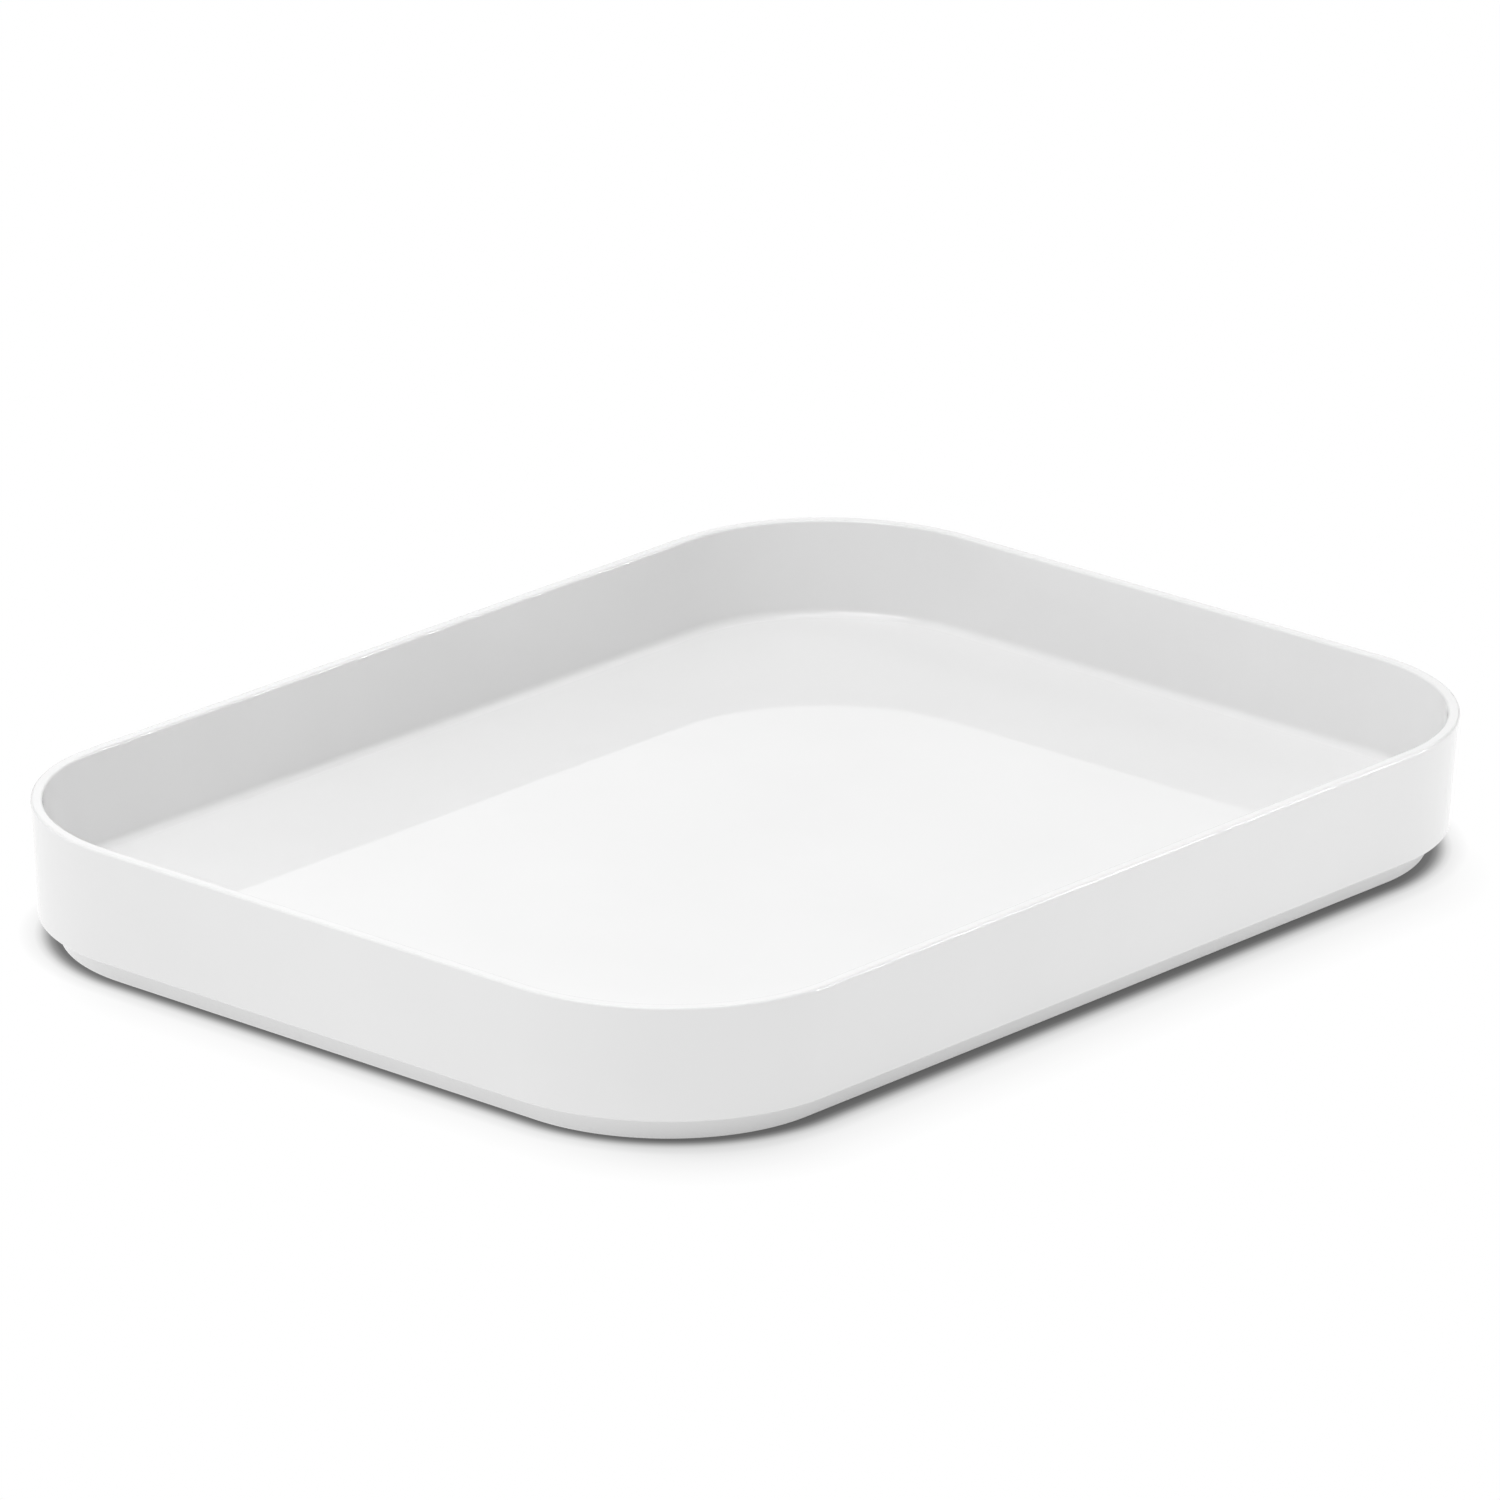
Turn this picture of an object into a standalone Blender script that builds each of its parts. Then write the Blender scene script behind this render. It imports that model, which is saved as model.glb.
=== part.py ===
"""A shallow one-piece tray, moulded in glossy white plastic.

The walls stand round a flat floor, with wide round corners, and lean outwards by the draft that
lets the moulding leave its mould. They end in a thin flat rim. Under the floor a foot ring, set
in from the walls, carries the tray, and the step above the ring is a narrow ledge all the way
round. Inside the ring the underside of the floor is recessed.

Metres, +Z up, the long side along X. The origin is at the middle of the base.
"""

import math

import bmesh
import bpy

# The rim's outline, seen from above.
LENGTH = 0.196
WIDTH = 0.145
CORNER_RADIUS = 0.0317
CORNER_SEGMENTS = 20

# Heights above the surface that the tray stands on.
RIM_HEIGHT = 0.0215
FLOOR_HEIGHT = 0.0062
LEDGE_HEIGHT = 0.0038

# Thicknesses, slopes and steps of the wall's section.
WALL_THICKNESS = 0.0018
WALL_DRAFT = math.radians(3.5)
LEDGE_WIDTH = 0.0032
FOOT_WIDTH = 0.0018
FOOT_DRAFT = math.radians(1.5)

# Radii of the roundings along the section's corners.
RIM_ROUNDING = 0.00035
LEDGE_ROUNDING = 0.00030
FOOT_ROUNDING = 0.00030
FLOOR_FILLET = 0.00140
ROUNDING_SEGMENTS = 3

PLASTIC_COLOUR = (0.80, 0.80, 0.80, 1.0)
PLASTIC_ROUGHNESS = 0.12
SAME_PLACE = 0.00001
SHARP_ANGLE = math.radians(35)


def remove_old_objects():
    for old in list(bpy.data.objects):
        bpy.data.objects.remove(old, do_unlink=True)


def make_collection(name):
    collection = bpy.data.collections.new(name)
    bpy.context.scene.collection.children.link(collection)
    return collection


def make_plastic():
    material = bpy.data.materials.new("white_plastic")
    material.use_nodes = True
    shader = material.node_tree.nodes["Principled BSDF"]
    shader.inputs["Base Color"].default_value = PLASTIC_COLOUR
    shader.inputs["Roughness"].default_value = PLASTIC_ROUGHNESS
    shader.inputs["Metallic"].default_value = 0.0
    return material


def section():
    """The wall's section: each corner as (inset from the rim's outline, height, rounding).

    Below runs from the foot of the outer wall to the recessed underside, and above from the
    inner edge of the rim to the floor. The rim's outer edge, at inset 0, is where both begin.
    """
    wall_foot = (RIM_HEIGHT - LEDGE_HEIGHT) * math.tan(WALL_DRAFT)
    foot_lean = LEDGE_HEIGHT * math.tan(FOOT_DRAFT)
    foot_top = wall_foot + LEDGE_WIDTH
    foot_outer = foot_top + foot_lean
    foot_inner = foot_outer + FOOT_WIDTH
    inner_foot = WALL_THICKNESS + (RIM_HEIGHT - FLOOR_HEIGHT) * math.tan(WALL_DRAFT)
    below = [
        (wall_foot, LEDGE_HEIGHT, LEDGE_ROUNDING),
        (foot_top, LEDGE_HEIGHT, LEDGE_ROUNDING),
        (foot_outer, 0.0, FOOT_ROUNDING),
        (foot_inner, 0.0, FOOT_ROUNDING),
        (foot_inner + foot_lean, LEDGE_HEIGHT, LEDGE_ROUNDING),
    ]
    above = [
        (WALL_THICKNESS, RIM_HEIGHT, RIM_ROUNDING),
        (inner_foot, FLOOR_HEIGHT, FLOOR_FILLET),
    ]
    return below, above


def from_corner_centre(point):
    """The point's offset, in plan, from the centre that its own corner of the outline turns about."""
    centre_x = math.copysign(LENGTH / 2 - CORNER_RADIUS, point.x)
    centre_y = math.copysign(WIDTH / 2 - CORNER_RADIUS, point.y)
    return point.x - centre_x, point.y - centre_y


def inset_of(point):
    """How far a point on any of the tray's outlines lies inside the rim's outline."""
    return CORNER_RADIUS - math.hypot(*from_corner_centre(point))


def draw_in(vertices, inset):
    """Moves vertices of the rim's outline inwards, so that round corners stay concentric."""
    for vertex in vertices:
        across, along = from_corner_centre(vertex.co)
        vertex.co.x -= across * inset / CORNER_RADIUS
        vertex.co.y -= along * inset / CORNER_RADIUS


def make_block(bm, wall_foot):
    """A block with the outer wall's shape, from the rim down to the ledge."""
    bmesh.ops.create_cube(bm, size=1.0)
    height = RIM_HEIGHT - LEDGE_HEIGHT
    bmesh.ops.scale(bm, vec=(LENGTH, WIDTH, height), verts=bm.verts)
    bmesh.ops.translate(bm, vec=(0.0, 0.0, LEDGE_HEIGHT + height / 2), verts=bm.verts)
    uprights = [e for e in bm.edges if abs(e.verts[0].co.z - e.verts[1].co.z) > SAME_PLACE]
    bmesh.ops.bevel(
        bm, geom=uprights, offset=CORNER_RADIUS, segments=CORNER_SEGMENTS, profile=0.5, affect="EDGES"
    )
    lower = [v for v in bm.verts if v.co.z < LEDGE_HEIGHT + SAME_PLACE]
    draw_in(lower, wall_foot)


def follow_section(bm, face, start, corners):
    """Insets and sinks a flat face from one corner of the section to the next."""
    inset, height = start
    facing = face.normal.z
    for next_inset, next_height, _ in corners:
        bmesh.ops.inset_region(
            bm,
            faces=[face],
            thickness=next_inset - inset,
            depth=(next_height - height) * facing,
            use_even_offset=True,
        )
        inset, height = next_inset, next_height


def weigh_edges(bm, corners, widest):
    """Gives each ring of edges at a corner of the section its share of the widest rounding."""
    weight = bm.edges.layers.float.new("bevel_weight_edge")
    for edge in bm.edges:
        for inset, height, rounding in corners:
            if all(
                abs(v.co.z - height) < SAME_PLACE and abs(inset_of(v.co) - inset) < SAME_PLACE
                for v in edge.verts
            ):
                edge[weight] = rounding / widest


def add_roundings(tray, widest):
    bevel = tray.modifiers.new("roundings", "BEVEL")
    bevel.limit_method = "WEIGHT"
    bevel.offset_type = "OFFSET"
    bevel.width = widest
    bevel.segments = ROUNDING_SEGMENTS
    bevel.use_clamp_overlap = False


def make_tray(collection):
    below, above = section()
    rim_edge = (0.0, RIM_HEIGHT, RIM_ROUNDING)
    bm = bmesh.new()
    make_block(bm, wall_foot=below[0][0])
    bm.normal_update()
    underside = min(bm.faces, key=lambda f: f.normal.z)
    top = max(bm.faces, key=lambda f: f.normal.z)
    follow_section(bm, underside, below[0][:2], below[1:])
    follow_section(bm, top, rim_edge[:2], above)
    weigh_edges(bm, [rim_edge, *below, *above], FLOOR_FILLET)

    mesh = bpy.data.meshes.new("tray")
    bm.to_mesh(mesh)
    bm.free()
    mesh.shade_smooth()
    mesh.set_sharp_from_angle(angle=SHARP_ANGLE)
    mesh.materials.append(make_plastic())
    tray = bpy.data.objects.new("tray", mesh)
    collection.objects.link(tray)
    add_roundings(tray, FLOOR_FILLET)
    return tray


def main():
    remove_old_objects()
    make_tray(make_collection("shallow_tray"))


main()
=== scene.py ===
"""The looks of a shallow white tray: the fine surface of its one moulding, its glossy plastic,
and a plain studio to see it in.

Metres, in the frame of the CAD model: the long side along X, +Z up, the base on z = 0.
"""

import math

import bmesh
import bpy
from mathutils import Matrix, Quaternion, Vector


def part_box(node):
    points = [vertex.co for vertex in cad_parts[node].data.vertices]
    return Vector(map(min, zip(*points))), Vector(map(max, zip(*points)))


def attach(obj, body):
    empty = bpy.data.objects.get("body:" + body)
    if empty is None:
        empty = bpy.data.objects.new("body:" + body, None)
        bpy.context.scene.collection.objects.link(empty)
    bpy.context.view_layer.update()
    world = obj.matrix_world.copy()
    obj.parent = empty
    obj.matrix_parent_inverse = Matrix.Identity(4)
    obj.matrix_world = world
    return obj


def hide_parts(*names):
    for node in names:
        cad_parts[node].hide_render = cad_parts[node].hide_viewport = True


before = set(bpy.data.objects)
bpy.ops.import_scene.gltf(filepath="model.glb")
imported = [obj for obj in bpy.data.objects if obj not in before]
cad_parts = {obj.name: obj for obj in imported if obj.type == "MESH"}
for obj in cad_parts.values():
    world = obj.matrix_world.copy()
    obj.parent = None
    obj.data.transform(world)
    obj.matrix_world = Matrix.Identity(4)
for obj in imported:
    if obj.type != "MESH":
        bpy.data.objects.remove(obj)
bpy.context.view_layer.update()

# The rim's outline and height come from the CAD node. The rest of the wall's section has the CAD
# model's own dimensions.
_, HIGH_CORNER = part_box("tray")
HALF_LENGTH = HIGH_CORNER.x
HALF_WIDTH = HIGH_CORNER.y
RIM_HEIGHT = HIGH_CORNER.z
CORNER_RADIUS = 0.0317
FLOOR_HEIGHT = 0.0062
LEDGE_HEIGHT = 0.0038
WALL_THICKNESS = 0.0018
WALL_SLOPE = math.tan(math.radians(3.5))
LEDGE_WIDTH = 0.0032
FOOT_WIDTH = 0.0018
FOOT_SLOPE = math.tan(math.radians(1.5))
RIM_ROUNDING = 0.00035
LEDGE_ROUNDING = 0.00030
FOOT_ROUNDING = 0.00030
FLOOR_FILLET = 0.00140

# Where the foot's outer edge comes in the list of the section's corners.
FOOT_EDGE = 6

# Marks that moulding leaves in the underside, as (radius, depth into the floor) rings from a mark's
# edge to its middle: where the plastic came in, and where the ejector pins pushed.
GATE_MARK = ((0.0040, 0.0), (0.0036, 0.0005), (0.0011, 0.0005), (0.0009, 0.0001))
PIN_MARK = ((0.0025, 0.0), (0.0024, 0.0001))
PIN_PLACES = [(x, y) for x in (-0.066, 0.0, 0.066) for y in (-0.042, 0.042)]

# How finely the surface is cut.
CORNER_STEPS = 48
ROUNDING_STEPS = 8
MARK_STEPS = 40
SHARP_ANGLE = math.radians(30)
LARGE_FACES_WEIGHT = 100

# The plastic: white all through, polished in the mould, and finely matt underneath. Each pattern is
# a noise with a scale, in waves to the metre, and a detail. Heights are in metres.
REFRACTION = 1.5
WHITE_LOW = (0.790, 0.790, 0.790, 1.0)
WHITE_HIGH = (0.810, 0.810, 0.810, 1.0)
CLOUD_SCALE = 30.0
CLOUD_DETAIL = 3.0
CLOUD_STOPS = (0.3, 0.7)
GLOSS_LOW = 0.020
GLOSS_HIGH = 0.045
GLOSS_SCALE = 120.0
GLOSS_DETAIL = 5.0
GLOSS_NOISE_LOW = 0.35
GLOSS_NOISE_HIGH = 0.75
WAVE_SCALE = 140.0
WAVE_DETAIL = 1.0
WAVE_HEIGHT = 0.000004
MATT_ROUGHNESS = 0.38
GRAIN_SCALE = 2600.0
GRAIN_DETAIL = 2.0
GRAIN_HEIGHT = 0.000012

# How far down a surface has to face before it starts to be matt, and is wholly so: its normal's z.
MATT_START = -0.6
MATT_FULL = -0.9

# The camera looks at a point above the middle of the base, from the front left.
CAMERA_AIM = Vector((-0.0003, 0.0003, 0.0216))
CAMERA_AZIMUTH = math.radians(-49.32)
CAMERA_ELEVATION = math.radians(19.65)
CAMERA_ROLL = math.radians(0.88)
CAMERA_DISTANCE = 2.105
CAMERA_LENS = 341.0
CAMERA_SENSOR = 36.0
CAMERA_CLIP = (0.1, 50.0)

# The studio: white paper on the ground in two sheets, one that is seen and one just under it that
# throws light up at the tray, and a white dome far behind.
GROUND_SIZE = 12.0
BOUNCE_DEPTH = 0.0003
BOUNCE_GLOW = 1.08
BACKDROP_RADIUS = 7.0
BACKDROP_SEGMENTS = 48
BACKDROP_RINGS = 24

# Shadows, painted on the paper: how bright it is at each distance out from the foot's edge, in
# metres. A shadow may be slid over the paper, or drawn in at the tray's two short ends.
CONTACT_DRAWN_IN = 0.0011
CONTACT_TONES = (
    (-0.0010, 0.100),
    (0.0000, 0.150),
    (0.0014, 0.185),
    (0.0022, 0.300),
    (0.0030, 0.530),
    (0.0037, 0.745),
    (0.0046, 0.900),
    (0.0070, 1.000),
)
HAZE_SLIDE = (-0.0073, -0.0120, 0.0)
HAZE_TONES = (
    (-0.0120, 0.740),
    (-0.0080, 0.810),
    (-0.0060, 0.870),
    (-0.0040, 0.910),
    (0.0000, 0.960),
    (0.0050, 1.000),
)
BOUNCE_SLIDE = (0.0010, -0.0055, 0.0)
BOUNCE_TONES = (
    (-0.0055, 0.44),
    (-0.0025, 0.60),
    (0.0000, 0.78),
    (0.0012, 0.90),
    (0.0025, 0.975),
    (0.0045, 1.00),
)

# The lights: an almost even sky, and softboxes as (name, turn from the camera, elevation,
# distance, width, height, brightness, what they light), in degrees and metres. Most light both the
# body of the plastic and its gloss, some only one of the two.
BODY_AND_GLOSS = (True, True)
BODY = (True, False)
GLOSS = (False, True)
HORIZON_BRIGHTNESS = 0.405
ZENITH_BRIGHTNESS = 0.478
SOFTBOXES = (
    ("key_softbox", -30, 55, 0.80, 0.60, 0.30, 3.45, BODY_AND_GLOSS),
    ("strip_softbox", -33, 60, 0.80, 0.70, 0.20, 1.55, BODY_AND_GLOSS),
    ("top_softbox", 0, 88, 0.80, 0.50, 0.50, 2.10, BODY_AND_GLOSS),
    ("right_softbox", 70, 8, 0.35, 0.12, 0.12, 2.55, BODY),
    ("back_softbox", 180, 27, 1.00, 0.35, 0.35, 0.70, BODY_AND_GLOSS),
    ("back_left_softbox", -100, 42, 0.80, 0.45, 0.45, 0.50, BODY_AND_GLOSS),
    ("back_right_softbox", 130, 39, 0.80, 0.60, 0.20, 0.95, BODY_AND_GLOSS),
    ("left_edge_softbox", -125, 5, 0.80, 0.30, 0.12, 9.00, BODY),
    ("right_edge_softbox", 136, 5, 0.80, 0.30, 0.12, 6.50, BODY),
    ("rim_line_softbox", 95, -0.6, 3.00, 1.40, 0.35, 75.00, GLOSS),
)


# ---- the moulding ----------------------------------------------------------------------------


def section_corners():
    """The wall's section from the floor over the rim and down to the underside.

    Each corner is (inset from the rim's outline, height, radius of its rounding).
    """
    wall_foot = (RIM_HEIGHT - LEDGE_HEIGHT) * WALL_SLOPE
    inner_foot = WALL_THICKNESS + (RIM_HEIGHT - FLOOR_HEIGHT) * WALL_SLOPE
    foot_top = wall_foot + LEDGE_WIDTH
    foot_outer = foot_top + LEDGE_HEIGHT * FOOT_SLOPE
    foot_inner = foot_outer + FOOT_WIDTH
    recess = foot_inner + LEDGE_HEIGHT * FOOT_SLOPE
    return [
        (inner_foot + 2 * FLOOR_FILLET, FLOOR_HEIGHT, 0.0),
        (inner_foot, FLOOR_HEIGHT, FLOOR_FILLET),
        (WALL_THICKNESS, RIM_HEIGHT, RIM_ROUNDING),
        (0.0, RIM_HEIGHT, RIM_ROUNDING),
        (wall_foot, LEDGE_HEIGHT, LEDGE_ROUNDING),
        (foot_top, LEDGE_HEIGHT, LEDGE_ROUNDING),
        (foot_outer, 0.0, FOOT_ROUNDING),
        (foot_inner, 0.0, FOOT_ROUNDING),
        (recess, LEDGE_HEIGHT, LEDGE_ROUNDING),
        (recess + 2 * LEDGE_ROUNDING, LEDGE_HEIGHT, 0.0),
    ]


def rounded_corner(before, corner, after, radius):
    """The points of an arc that rounds one corner of the section, from one side to the other."""
    to_before = (before - corner).normalized()
    to_after = (after - corner).normalized()
    half_angle = to_before.angle(to_after) / 2
    centre = corner + (to_before + to_after).normalized() * radius / math.sin(half_angle)
    first = corner + to_before * radius / math.tan(half_angle) - centre
    turn = math.pi - 2 * half_angle
    if first.cross(corner - centre) < 0:
        turn = -turn
    steps = range(ROUNDING_STEPS + 1)
    return [centre + Matrix.Rotation(turn * k / ROUNDING_STEPS, 2) @ first for k in steps]


def section():
    """The rounded section as (inset, height) points."""
    corners = section_corners()
    places = [Vector((inset, height)) for inset, height, _ in corners]
    points = [places[0]]
    for i in range(1, len(corners) - 1):
        points += rounded_corner(places[i - 1], places[i], places[i + 1], corners[i][2])
    return [*points, places[-1]]


def outline(inset, height):
    """The rim's outline drawn in by inset, as points at one height, anticlockwise from above."""
    points = []
    for quarter in range(4):
        side_x = 1 if quarter in (0, 3) else -1
        side_y = 1 if quarter in (0, 1) else -1
        centre_x = side_x * (HALF_LENGTH - CORNER_RADIUS)
        centre_y = side_y * (HALF_WIDTH - CORNER_RADIUS)
        for k in range(CORNER_STEPS + 1):
            angle = (quarter + k / CORNER_STEPS) * math.pi / 2
            x = centre_x + (CORNER_RADIUS - inset) * math.cos(angle)
            y = centre_y + (CORNER_RADIUS - inset) * math.sin(angle)
            points.append((x, y, height))
    return points


def bridge(bm, inner, outer):
    """Quads between two rings of the same number of vertices."""
    for k in range(len(inner)):
        following = (k + 1) % len(inner)
        bm.faces.new((inner[k], outer[k], outer[following], inner[following]))


def make_mark(bm, centre, rings, height):
    """A round mark in the underside: its faces, and the loop of vertices round its edge."""
    loops = []
    for radius, depth in rings:
        loop = []
        for k in range(MARK_STEPS):
            angle = 2 * math.pi * k / MARK_STEPS
            x = centre[0] + radius * math.cos(angle)
            y = centre[1] + radius * math.sin(angle)
            loop.append(bm.verts.new((x, y, height + depth)))
        loops.append(loop)
    for outer, inner in zip(loops, loops[1:]):
        bridge(bm, inner, outer)
    bm.faces.new(loops[-1])
    return loops[0]


def close_underside(bm, border):
    """Fills the recess under the floor, round the marks that lie in it."""
    height = border[0].co.z
    loops = [border, make_mark(bm, (0.0, 0.0), GATE_MARK, height)]
    loops += [make_mark(bm, place, PIN_MARK, height) for place in PIN_PLACES]
    edges = []
    for loop in loops:
        for first, second in zip(loop, loop[1:] + loop[:1]):
            edges.append(bm.edges.get((first, second)) or bm.edges.new((first, second)))
    bmesh.ops.triangle_fill(bm, edges=edges, use_beauty=True)


def make_moulding():
    """The tray's whole skin: the section carried round the outline, closed by floor and underside."""
    bm = bmesh.new()
    rings = [[bm.verts.new(p) for p in outline(*point)] for point in section()]
    for inner, outer in zip(rings, rings[1:]):
        bridge(bm, inner, outer)
    bm.faces.new(rings[0])
    close_underside(bm, rings[-1])
    bmesh.ops.recalc_face_normals(bm, faces=bm.faces)
    mesh = bpy.data.meshes.new("tray_moulding")
    bm.to_mesh(mesh)
    bm.free()
    mesh.shade_smooth()
    mesh.set_sharp_from_angle(angle=SHARP_ANGLE)
    moulding = bpy.data.objects.new("tray_moulding", mesh)
    bpy.context.scene.collection.objects.link(moulding)
    weighted = moulding.modifiers.new("flat_faces_stay_flat", "WEIGHTED_NORMAL")
    weighted.mode = "FACE_AREA"
    weighted.weight = LARGE_FACES_WEIGHT
    weighted.keep_sharp = True
    return moulding


# ---- the plastic -----------------------------------------------------------------------------


def add_noise(tree, place, scale, detail):
    """Noise from 0 to 1 through the solid plastic; the scale is in waves to the metre."""
    noise = tree.nodes.new("ShaderNodeTexNoise")
    noise.inputs["Scale"].default_value = scale
    noise.inputs["Detail"].default_value = detail
    tree.links.new(place, noise.inputs["Vector"])
    return noise.outputs["Fac"]


def add_range(tree, value, low, high, new_low, new_high):
    """A value carried smoothly from one range to another."""
    node = tree.nodes.new("ShaderNodeMapRange")
    node.interpolation_type = "SMOOTHSTEP"
    node.inputs["From Min"].default_value = low
    node.inputs["From Max"].default_value = high
    node.inputs["To Min"].default_value = new_low
    node.inputs["To Max"].default_value = new_high
    tree.links.new(value, node.inputs["Value"])
    return node.outputs["Result"]


def add_mix(tree, share, value, number):
    """A value mixed with a plain number, by a share from 0 to 1."""
    node = tree.nodes.new("ShaderNodeMix")
    node.inputs["B"].default_value = number
    tree.links.new(share, node.inputs["Factor"])
    tree.links.new(value, node.inputs["A"])
    return node.outputs["Result"]


def add_bump(tree, height, distance):
    node = tree.nodes.new("ShaderNodeBump")
    node.inputs["Distance"].default_value = distance
    tree.links.new(height, node.inputs["Height"])
    return node


def make_plastic():
    """Glossy white moulded plastic: faintly clouded, a little uneven in gloss, and very slightly
    wavy. What faces down is finely matt."""
    material = bpy.data.materials.new("glossy_white_plastic")
    material.use_nodes = True
    tree = material.node_tree
    shader = tree.nodes["Principled BSDF"]
    shader.inputs["IOR"].default_value = REFRACTION
    coordinates = tree.nodes.new("ShaderNodeTexCoord")
    place = coordinates.outputs["Object"]
    facing_parts = tree.nodes.new("ShaderNodeSeparateXYZ")
    tree.links.new(coordinates.outputs["Normal"], facing_parts.inputs["Vector"])
    faces_down = add_range(tree, facing_parts.outputs["Z"], MATT_START, MATT_FULL, 0.0, 1.0)

    clouds = tree.nodes.new("ShaderNodeValToRGB")
    clouds.color_ramp.elements[0].position = CLOUD_STOPS[0]
    clouds.color_ramp.elements[0].color = WHITE_LOW
    clouds.color_ramp.elements[1].position = CLOUD_STOPS[1]
    clouds.color_ramp.elements[1].color = WHITE_HIGH
    tree.links.new(add_noise(tree, place, CLOUD_SCALE, CLOUD_DETAIL), clouds.inputs["Fac"])
    tree.links.new(clouds.outputs["Color"], shader.inputs["Base Color"])

    gloss_noise = add_noise(tree, place, GLOSS_SCALE, GLOSS_DETAIL)
    gloss = add_range(
        tree, gloss_noise, GLOSS_NOISE_LOW, GLOSS_NOISE_HIGH, GLOSS_LOW, GLOSS_HIGH
    )
    roughness = add_mix(tree, faces_down, gloss, MATT_ROUGHNESS)
    tree.links.new(roughness, shader.inputs["Roughness"])

    waves = add_bump(tree, add_noise(tree, place, WAVE_SCALE, WAVE_DETAIL), WAVE_HEIGHT)
    grain_height = tree.nodes.new("ShaderNodeMath")
    grain_height.operation = "MULTIPLY"
    tree.links.new(add_noise(tree, place, GRAIN_SCALE, GRAIN_DETAIL), grain_height.inputs[0])
    tree.links.new(faces_down, grain_height.inputs[1])
    grain = add_bump(tree, grain_height.outputs["Value"], GRAIN_HEIGHT)
    tree.links.new(waves.outputs["Normal"], grain.inputs["Normal"])
    tree.links.new(grain.outputs["Normal"], shader.inputs["Normal"])
    return material


# ---- the studio ------------------------------------------------------------------------------


def direction(azimuth, elevation):
    """The unit vector from the origin towards an azimuth (0 is -Y, anticlockwise) and elevation."""
    return Vector(
        (
            math.sin(azimuth) * math.cos(elevation),
            -math.cos(azimuth) * math.cos(elevation),
            math.sin(elevation),
        )
    )


def facing(place, aim):
    """The rotation that turns a light's or a camera's -Z from its place towards its aim."""
    return (aim - place).to_track_quat("-Z", "Y")


def show_only_to_camera(stage_object):
    stage_object.visible_diffuse = False
    stage_object.visible_glossy = False
    stage_object.visible_transmission = False
    stage_object.visible_volume_scatter = False
    stage_object.visible_shadow = False


def make_emission(name):
    """A material that only glows, and its emission node."""
    material = bpy.data.materials.new(name)
    material.use_nodes = True
    tree = material.node_tree
    tree.nodes.remove(tree.nodes["Principled BSDF"])
    glow = tree.nodes.new("ShaderNodeEmission")
    tree.links.new(glow.outputs["Emission"], tree.nodes["Material Output"].inputs["Surface"])
    return material, glow


def add_distance_from_foot(tree, slide, drawn_in):
    """Nodes that give how far a point of the ground lies outside the foot's outline, when that is
    slid aside and drawn in at its two short ends."""
    foot_inset = section_corners()[FOOT_EDGE][0]
    place = tree.nodes.new("ShaderNodeTexCoord")
    slid = tree.nodes.new("ShaderNodeVectorMath")
    slid.operation = "SUBTRACT"
    slid.inputs[1].default_value = slide
    mirrored = tree.nodes.new("ShaderNodeVectorMath")
    mirrored.operation = "ABSOLUTE"
    from_centre = tree.nodes.new("ShaderNodeVectorMath")
    from_centre.operation = "SUBTRACT"
    centre_x = HALF_LENGTH - CORNER_RADIUS - drawn_in
    centre_y = HALF_WIDTH - CORNER_RADIUS
    from_centre.inputs[1].default_value = (centre_x, centre_y, 0.0)
    outwards = tree.nodes.new("ShaderNodeVectorMath")
    outwards.operation = "MAXIMUM"
    away = tree.nodes.new("ShaderNodeVectorMath")
    away.operation = "LENGTH"
    distance = tree.nodes.new("ShaderNodeMath")
    distance.operation = "SUBTRACT"
    distance.inputs[1].default_value = CORNER_RADIUS - foot_inset
    tree.links.new(place.outputs["Object"], slid.inputs[0])
    tree.links.new(slid.outputs["Vector"], mirrored.inputs[0])
    tree.links.new(mirrored.outputs["Vector"], from_centre.inputs[0])
    tree.links.new(from_centre.outputs["Vector"], outwards.inputs[0])
    tree.links.new(outwards.outputs["Vector"], away.inputs[0])
    tree.links.new(away.outputs["Value"], distance.inputs[0])
    return distance.outputs["Value"]


def add_shadow(tree, tones, slide=(0.0, 0.0, 0.0), drawn_in=0.0):
    """Nodes that give the paper's brightness under one painted shadow."""
    nearest = tones[0][0]
    reach = tones[-1][0] - nearest
    share = tree.nodes.new("ShaderNodeMapRange")
    share.inputs["From Min"].default_value = nearest
    share.inputs["From Max"].default_value = nearest + reach
    ramp = tree.nodes.new("ShaderNodeValToRGB")
    stops = ramp.color_ramp.elements
    # A new ramp has two stops already.
    for distance, _ in tones[2:]:
        stops.new((distance - nearest) / reach)
    for stop, (distance, brightness) in zip(stops, tones):
        stop.position = (distance - nearest) / reach
        stop.color = (brightness, brightness, brightness, 1.0)
    tree.links.new(add_distance_from_foot(tree, slide, drawn_in), share.inputs["Value"])
    tree.links.new(share.outputs["Result"], ramp.inputs["Fac"])
    return ramp.outputs["Color"]


def make_sheet(name, height):
    """A sheet of glowing paper, with its emission node."""
    bpy.ops.mesh.primitive_plane_add(size=GROUND_SIZE, location=(0.0, 0.0, height))
    sheet = bpy.context.active_object
    sheet.name = name
    material, glow = make_emission(name)
    sheet.data.materials.append(material)
    return sheet, glow


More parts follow.
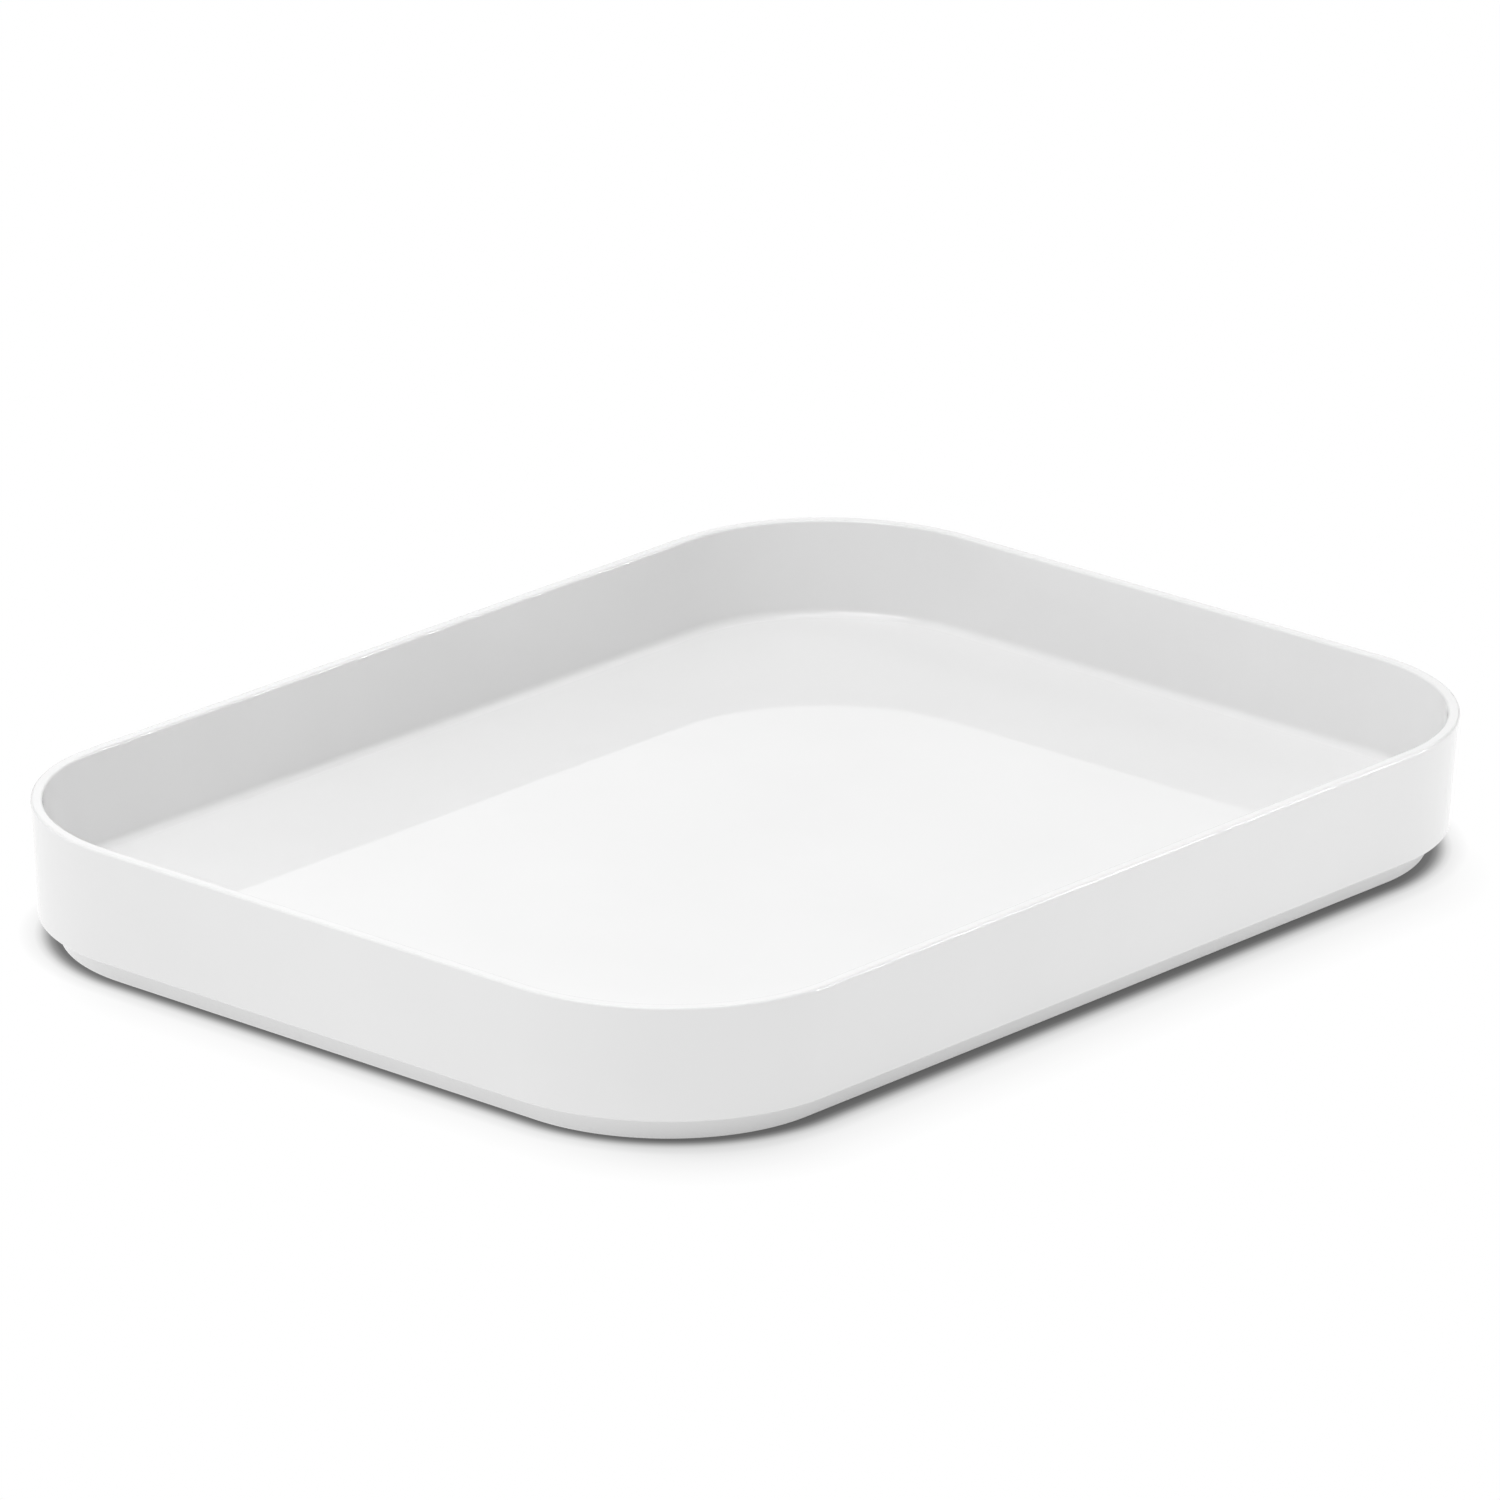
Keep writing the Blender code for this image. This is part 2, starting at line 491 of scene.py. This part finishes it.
def make_paper():
    """The paper that the camera sees: pure white but for the tray's painted shadows."""
    paper, glow = make_sheet("studio_paper", 0.0)
    show_only_to_camera(paper)
    tree = glow.id_data
    # Painted shadows: a dark contact shadow round the foot, times a faint, wider haze of painted
    # shade slid aside.
    contact = add_shadow(tree, CONTACT_TONES, drawn_in=CONTACT_DRAWN_IN)
    haze = add_shadow(tree, HAZE_TONES, slide=HAZE_SLIDE)
    both = tree.nodes.new("ShaderNodeMixRGB")
    both.blend_type = "MULTIPLY"
    both.inputs["Fac"].default_value = 1.0
    tree.links.new(contact, both.inputs["Color1"])
    tree.links.new(haze, both.inputs["Color2"])
    tree.links.new(both.outputs["Color"], glow.inputs["Color"])


def make_bounce():
    """The paper that throws light back up at the tray, with a painted shadow near the foot."""
    bounce, glow = make_sheet("studio_bounce", -BOUNCE_DEPTH)
    bounce.visible_camera = False
    bounce.visible_shadow = False
    tree = glow.id_data
    # Painted shadow in the sheet's glow: darker close to the foot, and slid aside.
    shadow = add_shadow(tree, BOUNCE_TONES, slide=BOUNCE_SLIDE)
    tree.links.new(shadow, glow.inputs["Color"])
    glow.inputs["Strength"].default_value = BOUNCE_GLOW


def make_backdrop():
    """A white dome behind everything, so that low views end in white and not in the dimmer sky."""
    bm = bmesh.new()
    bmesh.ops.create_uvsphere(
        bm, u_segments=BACKDROP_SEGMENTS, v_segments=BACKDROP_RINGS, radius=BACKDROP_RADIUS
    )
    mesh = bpy.data.meshes.new("studio_backdrop")
    bm.to_mesh(mesh)
    bm.free()
    backdrop = bpy.data.objects.new("studio_backdrop", mesh)
    bpy.context.scene.collection.objects.link(backdrop)
    show_only_to_camera(backdrop)
    mesh.materials.append(make_emission("white_backdrop")[0])


def make_sky():
    """Even white light from all round, a little brighter overhead than at the horizon."""
    world = bpy.data.worlds.new("white_studio")
    bpy.context.scene.world = world
    world.use_nodes = True
    tree = world.node_tree
    place = tree.nodes.new("ShaderNodeTexCoord")
    split = tree.nodes.new("ShaderNodeSeparateXYZ")
    rise = tree.nodes.new("ShaderNodeMapRange")
    rise.inputs["To Min"].default_value = HORIZON_BRIGHTNESS
    rise.inputs["To Max"].default_value = ZENITH_BRIGHTNESS
    tree.links.new(place.outputs["Generated"], split.inputs["Vector"])
    tree.links.new(split.outputs["Z"], rise.inputs["Value"])
    background = tree.nodes["Background"]
    background.inputs["Color"].default_value = (1.0, 1.0, 1.0, 1.0)
    tree.links.new(rise.outputs["Result"], background.inputs["Strength"])


def make_softbox(name, turn, elevation, distance, width, height, brightness, lights):
    """A soft light. Its turn is from the camera, to the right as the camera sees the tray. What it
    lights is a pair: the plastic's body, and its gloss."""
    light = bpy.data.lights.new(name, "AREA")
    light.shape = "RECTANGLE"
    light.size = width
    light.size_y = height
    light.energy = math.pi * width * height * brightness
    box = bpy.data.objects.new(name, light)
    box.visible_camera = False
    box.visible_diffuse, box.visible_glossy = lights
    way = direction(CAMERA_AZIMUTH + math.radians(turn), math.radians(elevation))
    box.location = way * distance
    box.rotation_mode = "QUATERNION"
    box.rotation_quaternion = facing(box.location, Vector())
    bpy.context.scene.collection.objects.link(box)


def make_camera():
    data = bpy.data.cameras.new("camera")
    data.lens = CAMERA_LENS
    data.sensor_width = CAMERA_SENSOR
    data.clip_start, data.clip_end = CAMERA_CLIP
    camera = bpy.data.objects.new("camera", data)
    camera.location = CAMERA_AIM + direction(CAMERA_AZIMUTH, CAMERA_ELEVATION) * CAMERA_DISTANCE
    camera.rotation_mode = "QUATERNION"
    level = facing(camera.location, CAMERA_AIM)
    camera.rotation_quaternion = level @ Quaternion((0.0, 0.0, 1.0), CAMERA_ROLL)
    bpy.context.scene.collection.objects.link(camera)
    bpy.context.scene.camera = camera


moulding = make_moulding()
moulding.data.materials.append(make_plastic())
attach(moulding, "root")
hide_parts("tray")

make_paper()
make_bounce()
make_backdrop()
make_sky()
for softbox in SOFTBOXES:
    make_softbox(*softbox)
make_camera()
bpy.context.scene.view_settings.view_transform = "Standard"
